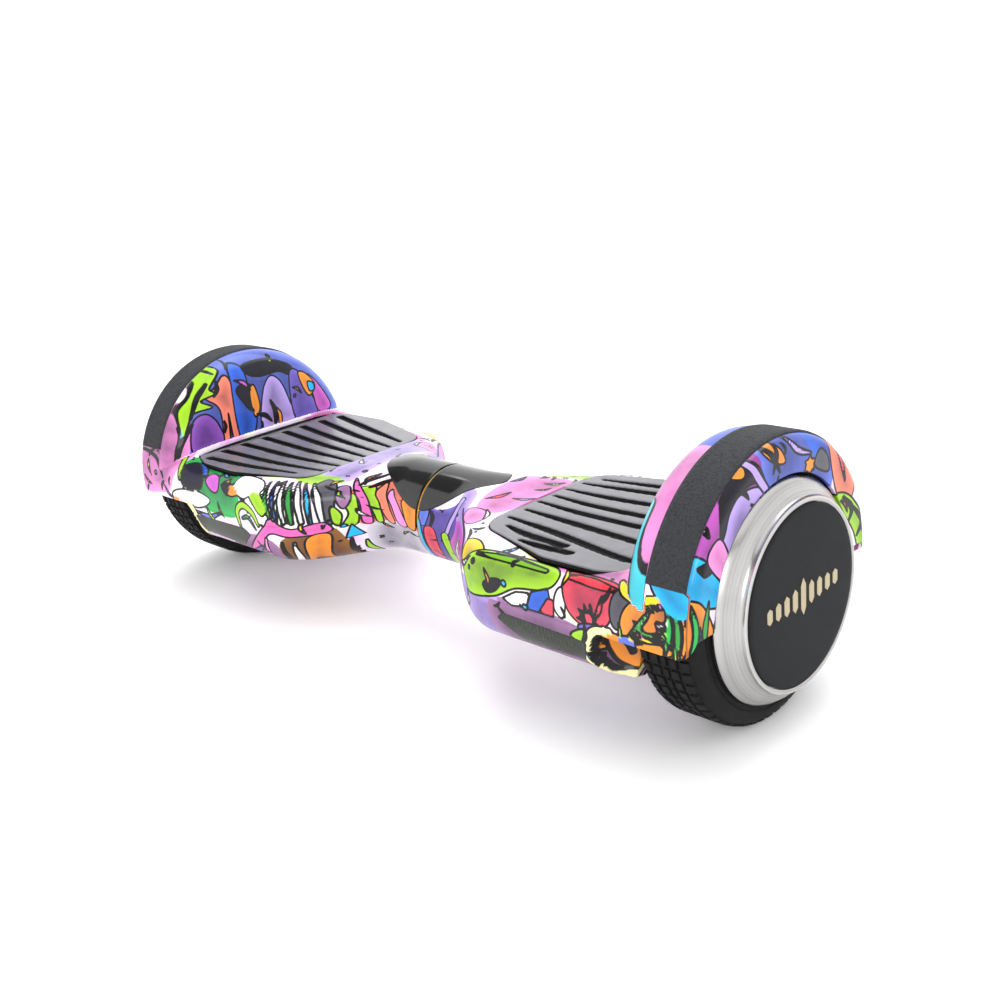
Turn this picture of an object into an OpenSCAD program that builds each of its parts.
// Two-wheeled self-balancing board: two mirrored halves that twist about a tube at the waist.
// X runs along the wheel axles, the lamps face -Y, +Z is up and the tyres stand on z = 0.
// The sub-parts are drawn for the right half, on +X, and mirrored for the left.

/* [Wheel] */
// Outer radius of the tyre, which is also the axle's height above the ground
tyre_r = 84; // [83:0.5:85]
// Width of the tyre across its sidewalls
tyre_w = 43; // [40:1:44]
// Radius that rounds the tyre's shoulders
shoulder_r = 7; // [4:1:8]
// Radius of the rim that the tyre sits on
rim_r = 60; // [58:1:61]
// Radius of the round cap on the wheel's outer face
hub_cap_r = 54.7; // [53.5:0.1:54.7]

/* [Body] */
// Distance from the middle of the board to the face of a hub cap
half_length = 292; // [291:0.5:294]
// Radius of the round waist where the halves meet
waist_r = 35; // [34:0.5:36]
// Height of the axis that the halves twist about
pivot_z = 80; // [79:0.5:81]
// Half the width of the foot platform
deck_half_w = 90; // [88:0.5:91]
// Height of the platform's crown
deck_z = 108; // [107.6:0.2:109]
// Height of the belly above the ground
belly_low = 35; // [33:1:36]
// Height of the joint between the top and bottom shells
seam_z = 76; // [75.6:0.1:76.4]
// Thickness of the shells
wall = 2.5; // [2:0.1:2.6]

/* [Fender] */
// Radius of the fender's back about the axle
fender_r = 92; // [91:0.5:93]
// Distance from the middle of the board to the fender's outer face
fender_x = 280; // [279:0.5:281]
// How far the bumper strip stands out from the fender
bumper_proud = 1.6; // [1:0.2:2]
// Angle above the axle at which the bumper strip ends, front and back
bumper_end = 19; // [15:1:24]

/* [Foot pad] */
// Height of the pad's upper face
pad_z = 107.5; // [107:0.1:107.5]
// Thickness of the pad
pad_t = 4.2; // [3.6:0.2:4.2]
// How far the pad sinks under a foot
pad_travel = 1.5; // [0.5:0.1:1.5]

/* [Waist] */
// Outer radius of the steel tube that joins the halves
tube_r = 11; // [10:0.5:11]
// Inner radius of that tube
tube_bore_r = 8.6; // [8.4:0.1:9]
// Half the length of that tube
tube_half = 62; // [61.5:0.5:66]
// Gap between the two halves' shells
waist_gap = 2.4; // [2:0.1:3]

/* [Rear fittings] */
// Radius of the charge socket's mouth
socket_r = 6; // [5:0.1:6]
// Depth of the charge socket's mouth
socket_depth = 9; // [6:0.5:10]
// Radius of the power button
button_r = 6.5; // [5:0.1:6.5]

/* [Hidden] */

$fn = 96;
skin_fn = 60;                // facets around the moulded skins
axle_z = tyre_r;
axle_r = 8;
seam_x = waist_gap / 2;
tyre_x1 = 275;
tyre_x0 = tyre_x1 - tyre_w;
crease_x = 226;              // where the fender's inner wall meets the platform
body_end_x = 222;            // outer face of the wall beside the tyre
inner_end_x = body_end_x - wall;
fender_round = 20;           // rounding between the fender's inner wall and its back
fender_edge = 6;             // rounding of the fender's outer edge
skirt_corner = 10;           // rounding of the skirts' lower outer corners
arch_x = crease_x + fender_round;
cover_opening_r = 70;
bumper_x0 = 248;
bumper_x1 = 275;
bumper_seat_r = fender_r - 1;
pad_gap = 0.8;
tray_floor_z = pad_z - pad_t - pad_travel - 0.3;
tray_low_z = tray_floor_z - wall;
plunger_x = 144;
plunger_y = 30;
plunger_r = 5;
plunger_low_z = 95.6;
shell_screw_places = [for (side = [-1, 1]) each [[64, 38 * side], [118, 76 * side], [204, 62 * side]]];
notch_centre = [229, 86, 56];
notch_r = 24;
rear_z = 60;
rear_face_y = 89.5;
rear_seat_y = 85.5;
rear_flange_r = 10;
socket_x = 130;
button_x = 165;
flap_axis_z = 72;
flap_axis_y = 90.1;
flap_t = 2;
flap_half = 4.4;              // half the width of the flap's strap
tub_x0 = 88;
tub_x1 = 214;
tub_low_z = 42;
tub_top_z = 87;
tub_wall = 3;
bridge_places = [124, 164];
clamp_places = [for (x = [196, 207]) for (side = [-1, 1]) [x, 14 * side]];
right_cable = [[202, 0, 84], [190, 0, 84], [184.5, 0, 80.5], [183, 0, 73], [181, 0, 66.5], [177, 0, 63.7],
    [172.1, 0, 63.4]];
left_cable = [[202, 0, 84], [190, 0, 84], [184, 0, 83], [179, 0, 82]];
battery_route = [[-112, 14, 80], [-100, 10, 80.5], [-90, 6.1, 80], [-60, 6.1, 80], [0, 6.1, 80], [70, 6.1, 80]];
loom_route = [[-176, 0, 82], [-150, 0, 81.2], [-110, 0, 81.1], [-80, 0, 80], [0, 0, 80], [112, 0, 80]];
post_y = 37;                 // the sensor board's posts, on the bridges
rest_places = [112, 148];    // ribs under the battery and the main board
drain_places = [104, 134, 164];
slots = 27;                  // teeth of the stator
tooth_half = 1.1;
tooth_root_r = 27;
tooth_tip_r = 44.5;
stator_r = 48.2;
bearing_r = 13.98;

// Rises smoothly from 0 at a to 1 at b
function ease(x, a, b) = let (t = max(0, min(1, (x - a) / (b - a)))) t * t * (3 - 2 * t);

// Points along an arc, from angle a0 to a1
function arc(centre, r, a0, a1, n = 8) =
    [for (i = [0 : n]) let (a = a0 + (a1 - a0) * i / n) centre + r * [cos(a), sin(a)]];

// The body's section at x: half width, crown, belly and how square it is
function half_width(x) = waist_r + (deck_half_w - waist_r) * ease(x, 26, 118)
    + (fender_r - deck_half_w) * ease(x, 190, crease_x);
function crown(x) = pivot_z + waist_r + (deck_z - pivot_z - waist_r) * ease(x, 30, 95)
    + 4 * ease(x, 190, crease_x);
function belly(x) = pivot_z - waist_r + (belly_low - pivot_z + waist_r) * ease(x, 30, 120);
function squareness(x, upper) = 2 + (upper ? 2.2 : 1.4) * ease(x, 30, 110);

// A point of the body's skin at x and angle a from +Y, moved in by inset
function skin(x, a, inset) =
    let (upper = sin(a) >= 0,
         power = 2 / squareness(x, upper),
         w = half_width(x) - inset,
         h = (upper ? crown(x) - pivot_z : pivot_z - belly(x)) - inset)
    [x, w * sign(cos(a)) * pow(abs(cos(a)), power),
        pivot_z + h * sign(sin(a)) * pow(abs(sin(a)), power)];

function quad(a, b, c, d) = [[a, b, c], [a, c, d]];

// The two faces of a closed band of rings, and its end caps
function ring_faces(rings, around) = concat(
    [for (i = [0 : rings - 1]) for (j = [0 : around - 1]) let (k = (j + 1) % around)
        each quad(i * around + j, (i + 1) * around + j, (i + 1) * around + k, i * around + k)],
    [[for (j = [0 : around - 1]) j]],
    [[for (j = [around - 1 : -1 : 0]) rings * around + j]]);

// The body's solid form between two places, moved in by inset
module body_form(x0, x1, inset, rings = 20, around = 32) {
    points = [for (i = [0 : rings]) for (j = [0 : around - 1])
        skin(x0 + (x1 - x0) * i / rings, 360 * j / around, inset)];
    polyhedron(points, ring_faces(rings, around), convexity = 6);
}

// A patch of the body's skin over the waist, between two depths
function window_spread(x, x1, spread) =
    let (along = (x - seam_x) / (x1 - seam_x)) spread * pow(max(0, 1 - pow(along, 1.7)), 0.95);
module window_form(x1, spread, outer, inner, rings = 12, across = 8) {
    around = 2 * across + 2;
    points = [for (i = [0 : rings]) let (x = seam_x + (x1 - seam_x) * (i / rings),
                                         half = max(1.2, window_spread(x, x1, spread)))
        each concat(
            [for (j = [0 : across]) skin(x, 90 - half + 2 * half * j / across, outer)],
            [for (j = [across : -1 : 0]) skin(x, 90 - half + 2 * half * j / across, inner)])];
    polyhedron(points, ring_faces(rings, around), convexity = 4);
}

// Moulded skins are kept as one mesh
module moulded() { resize([0, 0, 0]) children(); }

// Turns a profile of [radius, x] points about the wheel's axis
module turned(points) {
    translate([0, 0, axle_z]) rotate([0, 90, 0]) rotate_extrude() polygon(points);
}

// The same over the top of the wheel, ending at an angle above the axle front and back
module arched(points, end_angle) {
    translate([0, 0, axle_z]) rotate([0, 90, 0]) rotate([0, 0, 90 + end_angle])
        rotate_extrude(angle = 180 - 2 * end_angle) polygon(points);
}

// A round bar along X, with its axis at the height z
module bar_x(r, x0, x1, z, y = 0) {
    translate([x0, y, z]) rotate([0, 90, 0]) cylinder(r = r, h = x1 - x0);
}

// A round bar along Y, pointing to the rear
module bar_y(r, y0, y1, x, z) {
    translate([x, y1, z]) rotate([90, 0, 0]) cylinder(r = r, h = y1 - y0);
}

// A block between two corners
module block(low, high) {
    translate(low) cube(high - low);
}

// Everything above, or below, the joint between the shells
module above_seam() { block([0, -120, seam_z], [320, 120, 200]); }
module below_seam() { block([0, -120, 0], [320, 120, seam_z - 0.2]); }

// A smooth round cable through a short list of places
function spline(p, i, t) =
    let (n = len(p) - 1, a = p[max(0, i - 1)], b = p[i], c = p[i + 1], d = p[min(n, i + 2)])
    0.5 * (2 * b + (c - a) * t + (2 * a - 5 * b + 4 * c - d) * t * t
        + (3 * b - a - 3 * c + d) * t * t * t);
function smooth_route(p, steps) = concat(
    [for (i = [0 : len(p) - 2]) for (s = [0 : steps - 1]) spline(p, i, s / steps)], [p[len(p) - 1]]);
function unit(v) = v / norm(v);
module cable(places, r, steps = 4, sides = 8) {
    route = smooth_route(places, steps);
    last = len(route) - 1;
    points = [for (i = [0 : last])
        let (along = unit(route[min(last, i + 1)] - route[max(0, i - 1)]),
             across = unit(cross([0.2, 1, 0.1], along)),
             up = cross(along, across))
        for (j = [0 : sides - 1]) let (a = -360 * j / sides)
            route[i] + r * (cos(a) * across + sin(a) * up)];
    polyhedron(points, ring_faces(last, sides), convexity = 6);
}

module left() { mirror([1, 0, 0]) children(); }

// ---- Shells ----

// The fender over the wheel, with the platform's corners carried out under it
fender_profile = concat(
    [[20, crease_x - 3], [fender_r - fender_round, crease_x]],
    [for (a = [18 : 18 : 90]) [fender_r - fender_round + fender_round * sin(a),
                              arch_x - fender_round * cos(a)]],
    [for (a = [0 : 22.5 : 90]) [fender_r - fender_edge + fender_edge * cos(a),
                                 fender_x - fender_edge + fender_edge * sin(a)]],
    [[20, fender_x]]);
wheel_room = concat(
    [[0, crease_x + wall], [fender_r - fender_round, crease_x + wall]],
    [for (a = [22.5 : 22.5 : 90]) [fender_r - fender_round + (fender_round - wall) * sin(a),
                              arch_x - (fender_round - wall) * cos(a)]],
    [for (a = [0 : 30 : 90]) [fender_r - fender_edge + (fender_edge - wall) * cos(a),
                             fender_x - fender_edge + (fender_edge - wall) * sin(a)]],
    [[cover_opening_r, fender_x - wall], [cover_opening_r, fender_x + 5], [0, fender_x + 5]]);

// The outline of the foot pad, grown by extra
module pad_outline(extra) {
    offset(r = extra, $fn = 24) hull($fn = 32) for (side = [-1, 1]) {
        translate([111.5, 42 * side]) circle(r = 20);
        translate([165, 52 * side]) circle(r = 25);
        translate([199, 56 * side]) circle(r = 20);
        translate([213.5, 63.5 * side]) circle(r = 8);
    }
}

// The way for the axle through the walls beside the tyre
module axle_way() {
    bar_x(axle_r + 2, body_end_x - 8, crease_x + 4, axle_z, 0);
    block([body_end_x - 8, -axle_r - 2, seam_z - 1], [crease_x + 4, axle_r + 2, axle_z]);
}

module top_shell() {
    color("mediumorchid") moulded() difference() {
        union() {
            intersection() {
                union() {
                    difference() {
                        body_form(seam_x, body_end_x, 0);
                        body_form(0, inner_end_x, wall, 14, 24);
                    }
                    body_form(body_end_x - 2, fender_x - fender_edge, 0, 4);
                    turned(fender_profile, $fn = skin_fn);
                }
                above_seam();
            }
            intersection() {
                body_form(60, crease_x, 0.2, 14);
                translate([0, 0, tray_low_z]) linear_extrude(20) pad_outline(pad_gap + wall);
            }
            intersection() {
                body_form(40, crease_x, 0.5, 14, 24);
                above_seam();
                for (p = shell_screw_places) translate(p) cylinder(r = 4.5, h = tray_low_z + 20, $fn = 14);
            }
        }
        turned(wheel_room, $fn = skin_fn);
        arched([[bumper_seat_r, bumper_x0 - 0.3], [bumper_seat_r, bumper_x1 + 0.3],
                [fender_r + 5, bumper_x1 + 0.3], [fender_r + 5, bumper_x0 - 0.3]],
                bumper_end - 0.3, $fn = skin_fn);
        translate([0, 0, tray_floor_z]) linear_extrude(40) intersection() {
            pad_outline(pad_gap);
            translate([80, -100]) square([body_end_x + 0.9 - 80, 200]);
        }
        for (side = [-1, 1]) translate([plunger_x, plunger_y * side, tray_low_z - 1])
            cylinder(r = plunger_r + 1, h = 10, $fn = 20);
        for (p = shell_screw_places) translate([p.x, p.y, seam_z - 1]) cylinder(r = 1.7, h = 17, $fn = 13);
        window_form(57.6, 71, -2, 1.7);
        axle_way();
        difference() {
            block([fender_x - skirt_corner, -120, seam_z - 1],
                  [fender_x + 1, 120, seam_z + skirt_corner]);
            bar_y(skirt_corner, -121, 121, fender_x - skirt_corner, seam_z + skirt_corner);
        }
        block([body_end_x + 0.5, -cover_opening_r, seam_z - 1], [fender_x + 1, cover_opening_r, axle_z]);
    }
}

module bottom_shell_blank() {
    difference() {
        union() {
            difference() {
                body_form(seam_x, body_end_x, 0);
                body_form(0, inner_end_x, wall, 14, 24);
            }
            intersection() {
                body_form(40, body_end_x, 0.2);
                union() {
                    for (p = shell_screw_places) translate(p) cylinder(r = 5.4, h = seam_z - 0.4, $fn = 16);
                    for (side = [-1, 1]) translate([notch_centre.x, side * notch_centre.y, notch_centre.z])
                        sphere(r = notch_r + wall, $fn = 30);
                }
            }
        }
        for (side = [-1, 1]) translate([notch_centre.x, side * notch_centre.y, notch_centre.z])
            sphere(r = notch_r, $fn = 30);
        for (p = shell_screw_places) translate(p) {
            cylinder(r = 3.4, h = seam_z - 6.5, $fn = 16);
            cylinder(r = 1.75, h = seam_z, $fn = 13);
        }
        lens_prism(0.3);
        axle_way();
    }
}

// The right half's rear carries the charge socket and the power button
module bottom_shell(rear_fittings) {
    color("hotpink") moulded() intersection() {
        below_seam();
        difference() {
            bottom_shell_blank();
            if (rear_fittings) {
                for (x = [socket_x, button_x]) {
                    bar_y(rear_flange_r + 0.2, rear_seat_y, 100, x, rear_z, $fn = 32);
                    bar_y(8.2, 60, 100, x, rear_z, $fn = 32);
                }
                block([socket_x - 9, rear_seat_y, rear_z], [socket_x + 9, 100, flap_axis_z + 2.6]);
            }
        }
    }
}

module arch_bumper() {
    color("dimgray") arched(concat(
        [[bumper_seat_r, bumper_x1], [bumper_seat_r, bumper_x0], [fender_r + 0.3, bumper_x0]],
        [[fender_r + bumper_proud - 0.3, bumper_x0 + 1.2], [fender_r + bumper_proud, bumper_x0 + 3],
         [fender_r + bumper_proud, bumper_x1 - 3], [fender_r + bumper_proud - 0.3, bumper_x1 - 1.2],
         [fender_r + 0.3, bumper_x1]]), bumper_end);
}

module status_window() {
    color("black") moulded() window_form(57, 70, 0, 1.5);
}

// ---- Foot pad ----

module foot_pad() {
    color([0.12, 0.12, 0.12]) translate([0, 0, pad_z - pad_t]) linear_extrude(pad_t)
        intersection() {
            pad_outline(0);
            translate([80, -100]) square([body_end_x - 80, 200]);
        }
}

module pad_plungers() {
    color("gray") for (side = [-1, 1]) translate([plunger_x, plunger_y * side, plunger_low_z])
        cylinder(r = plunger_r, h = pad_z - pad_t - plunger_low_z);
}

module gyro_board() {
    pcb_z = 90;
    color("seagreen") union() {
        difference() {
            block([120, -41, pcb_z], [168, 41, pcb_z + 1.6]);
            for (x = bridge_places) for (side = [-1, 1])
                translate([x, post_y * side, pcb_z - 1]) cylinder(r = 1.6, h = 4);
        }
        block([138, -6, pcb_z + 1.6], [150, 6, pcb_z + 3]);
        block([156, 10, pcb_z + 1.6], [166, 26, pcb_z + 5.5]);
        for (side = [-1, 1]) block([plunger_x - 3, plunger_y * side - 3, pcb_z + 1.6],
                                   [plunger_x + 3, plunger_y * side + 3, pcb_z + 3.6]);
    }
}

// ---- Lamps ----

// The lens's outline on the front, grown by extra, as a bar through the shell
module lens_prism(extra) {
    translate([0, -60, 0]) rotate([90, 0, 0]) linear_extrude(60) offset(delta = extra)
        polygon([[131, 64.5], [138, 69], [205, 67.5], [199.5, 53], [150, 50.5]]);
}

module light_lens() {
    color("darkolivegreen") moulded() intersection() {
        difference() {
            body_form(100, 215, 0.1, 14);
            body_form(99, 216, wall + 0.6, 14);
        }
        lens_prism(-0.05);
    }
}

module light_board() {
    color("darkgreen") union() {
        block([142, -80, 53.5], [196, -78.4, 66]);
        for (i = [0 : 3]) block([147 + 14 * i, -82, 57.5], [152 + 14 * i, -80, 62.5]);
    }
}

// ---- Frame ----

module tub_outline(inset) {
    polygon([[tub_x0 + inset, -34 + inset], [118, -54 + inset], [tub_x1 - inset, -54 + inset],
             [tub_x1 - inset, 54 - inset], [118, 54 - inset], [tub_x0 + inset, 34 - inset]]);
}

module chassis(hub_bore_r, bush_seats) {
    color("silver") difference() {
        union() {
            translate([0, 0, tub_low_z]) difference() {
                linear_extrude(tub_top_z - tub_low_z) tub_outline(0);
                translate([0, 0, tub_wall]) linear_extrude(60) tub_outline(tub_wall);
            }
            bar_x(19, 4, 58, pivot_z);
            block([56, -20, pivot_z - 17], [tub_x0 + 1, 20, pivot_z + 17]);
            for (x = bridge_places) {
                block([x - 4, -53, tub_top_z - 3], [x + 4, 53, tub_top_z]);
                for (side = [-1, 1]) translate([x, post_y * side, tub_top_z - 1]) cylinder(r = 3, h = 4);
            }
            block([190, -20, tub_low_z + 1], [tub_x1 - 1, 20, axle_z]);
            for (x = rest_places) for (side = [-1, 1])
                block([x, 40 * side - 3, tub_low_z + 1], [x + 3, 40 * side + 3, 58]);
        }
        bar_x(hub_bore_r, 0, 60, pivot_z);
        bar_x(12, 50, tub_x0 + 10, pivot_z);
        if (bush_seats) {
            for (x = [[3, 16], [46, 59]]) bar_x(14, x[0], x[1], pivot_z);
            bar_x(17, 57.9, 61, pivot_z);
        }
        bar_x(axle_r + 0.02, 185, tub_x1 + 5, axle_z);
        for (p = clamp_places) translate([p.x, p.y, 62]) cylinder(r = 2.5, h = 30);
        block([tub_x1 - 4, -axle_r - 2, axle_z], [tub_x1 + 1, axle_r + 2, tub_top_z + 1]);
        for (x = drain_places) for (side = [-1, 1])
            translate([x, 20 * side, tub_low_z - 1]) cylinder(r = 6, h = 6);
    }
}

module axle_clamp() {
    color("lightgray") difference() {
        block([190, -20, axle_z + 0.4], [tub_x1 - 4.5, 20, 95.5]);
        intersection() {
            bar_x(axle_r + 0.02, 185, tub_x1 + 5, axle_z);
            block([185, -20, 70], [tub_x1 + 5, 20, axle_z + 6.52]);
        }
        for (p = clamp_places) translate([p.x, p.y, 80]) cylinder(r = 2.7, h = 30);
    }
}

module clamp_screws() {
    color("dimgray") for (p = clamp_places) translate(p) {
        translate([0, 0, 66]) cylinder(r = 2.48, h = 30);
        difference() {
            translate([0, 0, 95.6]) cylinder(r = 4.2, h = 2.7);
            translate([0, 0, 96.6]) cylinder(r = 2.3, h = 4, $fn = 6);
        }
    }
}

module shell_screws() {
    color("dimgray") for (p = shell_screw_places) translate(p) {
        translate([0, 0, seam_z - 7]) cylinder(r = 1.5, h = 22);
        translate([0, 0, seam_z - 9.2]) cylinder(r = 3, h = 2.5);
    }
}

// ---- Hub motor ----

module motor_axle() {
    color("silver") difference() {
        turned([[3.4, 190], [axle_r, 190], [axle_r, 236], [6, 236], [6, 246], [9, 246],
                [9, 268], [6, 268], [6, 278.5], [0, 278.5], [0, 262], [3.4, 262]]);
        block([180, -20, axle_z + 6.5], [222, 20, axle_z + 20]);
    }
}

module stator() {
    tip_half = 5.2;
    tooth = [[tooth_root_r, -6], [tooth_root_r, -asin(tooth_half / tooth_root_r)],
             [tooth_tip_r, -asin(tooth_half / tooth_tip_r)], [tooth_tip_r + 1.5, -tip_half],
             [stator_r, -tip_half], [stator_r, tip_half], [tooth_tip_r + 1.5, tip_half],
             [tooth_tip_r, asin(tooth_half / tooth_tip_r)], [tooth_root_r, asin(tooth_half / tooth_root_r)]];
    ring = [for (i = [0 : slots - 1]) for (p = tooth)
        let (a = 360 * i / slots + p[1]) p[0] * [cos(a), sin(a)]];
    color("darkgray") difference() {
        translate([246, 0, axle_z]) rotate([0, 90, 0]) linear_extrude(22) polygon(ring);
        bar_x(9.01, 240, 275, axle_z);
        for (i = [0 : 8]) translate([240, 0, axle_z]) rotate([i * 40, 0, 0]) translate([0, 0, 18])
            rotate([0, 90, 0]) cylinder(r = 4, h = 40);
    }
}

module stator_coils() {
    color("chocolate") for (i = [0 : slots - 1]) translate([0, 0, axle_z]) rotate([-360 * i / slots, 0, 0])
        difference() {
            block([243.2, -2.9, -43.5], [270.8, 2.9, -29.5]);
            block([245.9, -tooth_half - 0.02, -44], [268.1, tooth_half + 0.02, -29]);
        }
}

module motor_bearings() {
    color("gainsboro") for (x = [237.2, 268.4])
        turned([[6.05, x], [bearing_r, x], [bearing_r, x + 7.8], [6.05, x + 7.8]]);
}

module rotor_rim() {
    color("lightgray") turned([
        [10, 236], [rim_r + 2, 236], [rim_r + 2, 236.5], [rim_r, 238.5], [rim_r, 268.5],
        [rim_r + 2, 270.5], [rim_r + 2, 274], [51.5, 274], [51.5, 241], [18, 241], [18, 245],
        [14, 245], [14, 237], [10, 237]]);
}

module rotor_magnets() {
    color("slategray") for (i = [0 : 29]) translate([0, 0, axle_z]) rotate([i * 12, 0, 0])
        block([243, -4.6, 49.1], [269, 4.6, 51.2]);
}

module motor_cover() {
    barrel = [[59, 274.1], [64, 274.6], [68, 276], [68.3, 277.8], [66.6, 281], [62.8, 284.4],
        [59.4, 286.8], [58.2, 289], [57.9, 290.8], [57.2, 291.4], [hub_cap_r + 0.6, 291.4],
        [hub_cap_r + 0.3, 291], [hub_cap_r + 0.3, 288.5], [52.5, 288.5], [52.5, 280]];
    color("whitesmoke") turned(concat([[14, 268.2], [18, 268.2], [18, 274.1]], barrel,
        [[8, 280], [8, 276.4], [14, 276.4]]));
}

module hub_cap() {
    color("dimgray") turned([
        [0, 289.2], [50, 289.2], [50, 286], [52.3, 286], [52.3, 288.6], [hub_cap_r, 288.6],
        [hub_cap_r, half_length - 0.8], [hub_cap_r - 0.8, half_length], [0, half_length]]);
}

module tyre() {
    mid_x = (tyre_x0 + tyre_x1) / 2;
    side = concat([[rim_r, 0], [rim_r, 15], [rim_r + 2.1, 17.1], [rim_r + 2.1, tyre_w / 2 - 1.5],
                   [rim_r + 4, tyre_w / 2 - 0.4], [rim_r + 10, tyre_w / 2]],
        arc([tyre_r - shoulder_r, tyre_w / 2 - shoulder_r], shoulder_r, 90, 8, 7),
        [[tyre_r, tyre_w / 2 - shoulder_r - 2]]);
    back = [for (i = [len(side) - 1 : -1 : 1]) [side[i].x, -side[i].y]];
    color([0.1, 0.1, 0.1]) turned([for (p = concat(side, back)) [p.x, p.y + mid_x]]);
}

// ---- Waist ----

module pivot_tube() {
    color("silver") difference() {
        bar_x(tube_r, -tube_half, tube_half, pivot_z);
        bar_x(tube_bore_r, -tube_half - 1, tube_half + 1, pivot_z);
        difference() {
            bar_x(tube_r + 1, 59.1, 60.3, pivot_z);
            bar_x(tube_r - 0.8, 59, 60.4, pivot_z);
        }
    }
}

module pivot_clip() {
    color("dimgray") difference() {
        bar_x(13.5, 59.15, 60.25, pivot_z);
        bar_x(tube_r - 0.78, 58, 62, pivot_z);
        block([58, -3, pivot_z - 20], [62, 3, pivot_z]);
    }
}

module pivot_bushes() {
    color("darkgoldenrod") for (way = [[4, 16, 3.2], [58, 46, 58.8]]) difference() {
        union() {
            bar_x(13.98, min(way[0], way[1]), max(way[0], way[1]), pivot_z);
            bar_x(16, min(way[0], way[2]), max(way[0], way[2]), pivot_z);
        }
        bar_x(tube_r + 0.05, 0, 62, pivot_z);
    }
}

module waist_ring() {
    color("goldenrod") difference() {
        bar_x(waist_r - 1.2, -seam_x, seam_x - 0.4, pivot_z);
        bar_x(tube_r + 1, -5, 5, pivot_z);
    }
}

// ---- Power and wiring ----

module battery_pack() {
    color("royalblue") left() union() {
        block([102, -36.5, tub_low_z + tub_wall + 0.3], [170, 36.5, 77]);
        block([112, -43, tub_low_z + tub_wall + 16.5], [165, 43, 74]);
    }
}

module battery_strap() {
    color("black") left() difference() {
        block([132, -45, 60.5], [144, 45, 78.1]);
        block([131, -43.1, 55], [145, 43.1, 74.1]);
        block([131, -38.1, 55], [145, 38.1, 77.1]);
    }
}

module battery_cable() {
    color("red") cable(battery_route, 2.2, 5);
}

module wiring_loom() {
    color([0.2, 0.2, 0.2]) cable(loom_route, 2.6, 5);
}

module motor_cable(places) {
    color([0.15, 0.15, 0.15]) cable(places, 3, 4);
}

module main_board() {
    color("seagreen") union() {
        block([104, -37, 58.05], [176, 37, 59.7]);
        block([104, -37, 52], [108, 37, 59]);
        for (side = [-1, 1]) block([116, 24 * side - 6, 59.7], [156, 24 * side + 6, 68]);
        for (i = [0 : 2]) block([120 + 13 * i, -7, 59.7], [129 + 13 * i, 7, 66]);
        block([162, -16, 59.7], [172, 16, 67]);
    }
}

module power_button() {
    color("gainsboro") union() {
        bar_y(button_r, 79.6, 90.6, button_x, rear_z);
        bar_y(7.4, 79.6, 81.6, button_x, rear_z);
    }
}

module button_bezel() {
    color("black") difference() {
        union() {
            bar_y(rear_flange_r, rear_seat_y, rear_face_y, button_x, rear_z);
            bar_y(8, 76, rear_seat_y + 1, button_x, rear_z);
        }
        bar_y(button_r + 0.3, 70, 95, button_x, rear_z);
        bar_y(7.7, 70, 82, button_x, rear_z);
    }
}

module charge_socket() {
    floor_y = rear_face_y - socket_depth;
    color("black") difference() {
        union() {
            bar_y(rear_flange_r, rear_seat_y, rear_face_y, socket_x, rear_z);
            bar_y(8, 68, rear_seat_y + 1, socket_x, rear_z);
            for (side = [-1, 1]) block([socket_x + 6.7 * side - 1.7, rear_seat_y + 0.05, rear_z + 4],
                                       [socket_x + 6.7 * side + 1.7, flap_axis_y + 1.4, flap_axis_z + 2.2]);
        }
        bar_y(socket_r, floor_y, 95, socket_x, rear_z);
        difference() {
            bar_y(socket_r - 1, 74, 95, socket_x, rear_z);
            for (a = [90, 210, 330])
                bar_y(0.8, 73, floor_y - 1.5, socket_x + 2.6 * cos(a), rear_z + 2.6 * sin(a));
        }
        translate([socket_x, 0, rear_z]) block([-8.5, rear_face_y, -2], [8.5, 95, 8.4]);
    }
    color("silver") bar_x(0.9, socket_x - 7, socket_x + 7, flap_axis_z, flap_axis_y);
}

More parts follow.
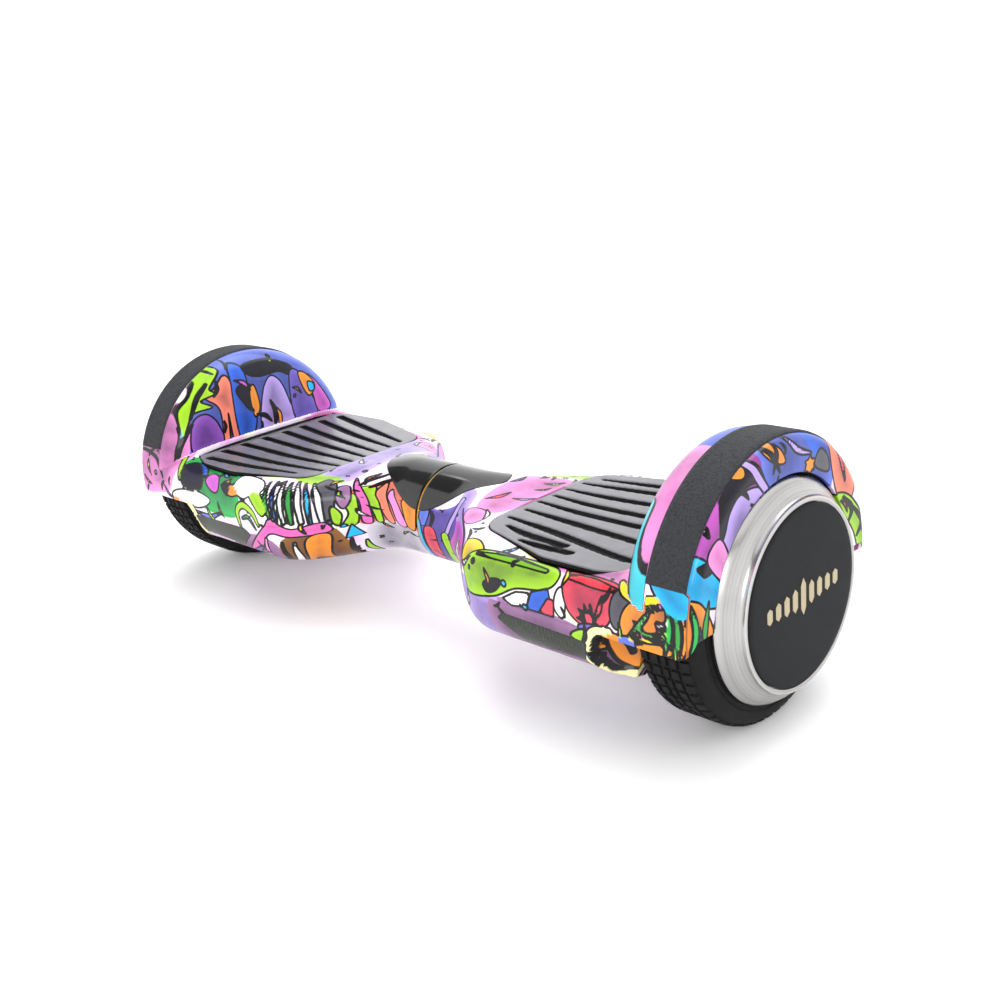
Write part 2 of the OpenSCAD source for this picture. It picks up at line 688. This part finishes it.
module charge_cap() {
    color([0.15, 0.15, 0.15]) difference() {
        union() {
            bar_y(rear_flange_r - 0.5, rear_face_y + 0.3, rear_face_y + 0.3 + flap_t, socket_x, rear_z);
            block([socket_x - flap_half, rear_face_y + 0.3, rear_z + 5],
                  [socket_x + flap_half, rear_face_y + 0.3 + flap_t, flap_axis_z]);
            bar_x(1.7, socket_x - flap_half, socket_x + flap_half, flap_axis_z, flap_axis_y);
        }
        bar_x(0.95, socket_x - 8, socket_x + 8, flap_axis_z, flap_axis_y);
        difference() {
            bar_y(rear_flange_r + 1, 80, 95, socket_x, rear_z);
            bar_y(rear_flange_r - 0.5, 79, 96, socket_x, rear_z);
            block([socket_x - flap_half, 80, rear_z], [socket_x + flap_half, 96, rear_z + 20]);
        }
    }
}

left() top_shell();  // left_top_shell
top_shell();  // right_top_shell
left() bottom_shell(false);  // left_bottom_shell
bottom_shell(true);  // right_bottom_shell
left() arch_bumper();  // left_arch_bumper
arch_bumper();  // right_arch_bumper
left() foot_pad();  // left_foot_pad
foot_pad();  // right_foot_pad
left() pad_plungers();  // left_pad_plungers
pad_plungers();  // right_pad_plungers
left() light_lens();  // left_light_lens
light_lens();  // right_light_lens
left() light_board();  // left_light_board
light_board();  // right_light_board
left() status_window();  // left_status_window
status_window();  // right_status_window
left() chassis(tube_r + 0.02, false);  // left_chassis
chassis(12, true);  // right_chassis
left() gyro_board();  // left_gyro_board
gyro_board();  // right_gyro_board
left() axle_clamp();  // left_axle_clamp
axle_clamp();  // right_axle_clamp
left() clamp_screws();  // left_clamp_screws
clamp_screws();  // right_clamp_screws
left() motor_axle();  // left_motor_axle
motor_axle();  // right_motor_axle
left() stator();  // left_stator
stator();  // right_stator
left() stator_coils();  // left_stator_coils
stator_coils();  // right_stator_coils
left() motor_bearings();  // left_motor_bearings
motor_bearings();  // right_motor_bearings
left() rotor_rim();  // left_rotor_rim
rotor_rim();  // right_rotor_rim
left() rotor_magnets();  // left_rotor_magnets
rotor_magnets();  // right_rotor_magnets
left() motor_cover();  // left_motor_cover
motor_cover();  // right_motor_cover
left() tyre();  // left_tyre
tyre();  // right_tyre
left() hub_cap();  // left_hub_cap
hub_cap();  // right_hub_cap
left() motor_cable(left_cable);  // left_motor_cable
motor_cable(right_cable);  // right_motor_cable
left() shell_screws();  // left_shell_screws
shell_screws();  // right_shell_screws
pivot_tube();
pivot_bushes();
pivot_clip();
waist_ring();
battery_pack();
battery_strap();
battery_cable();
wiring_loom();
main_board();
power_button();
button_bezel();
charge_socket();
charge_cap();
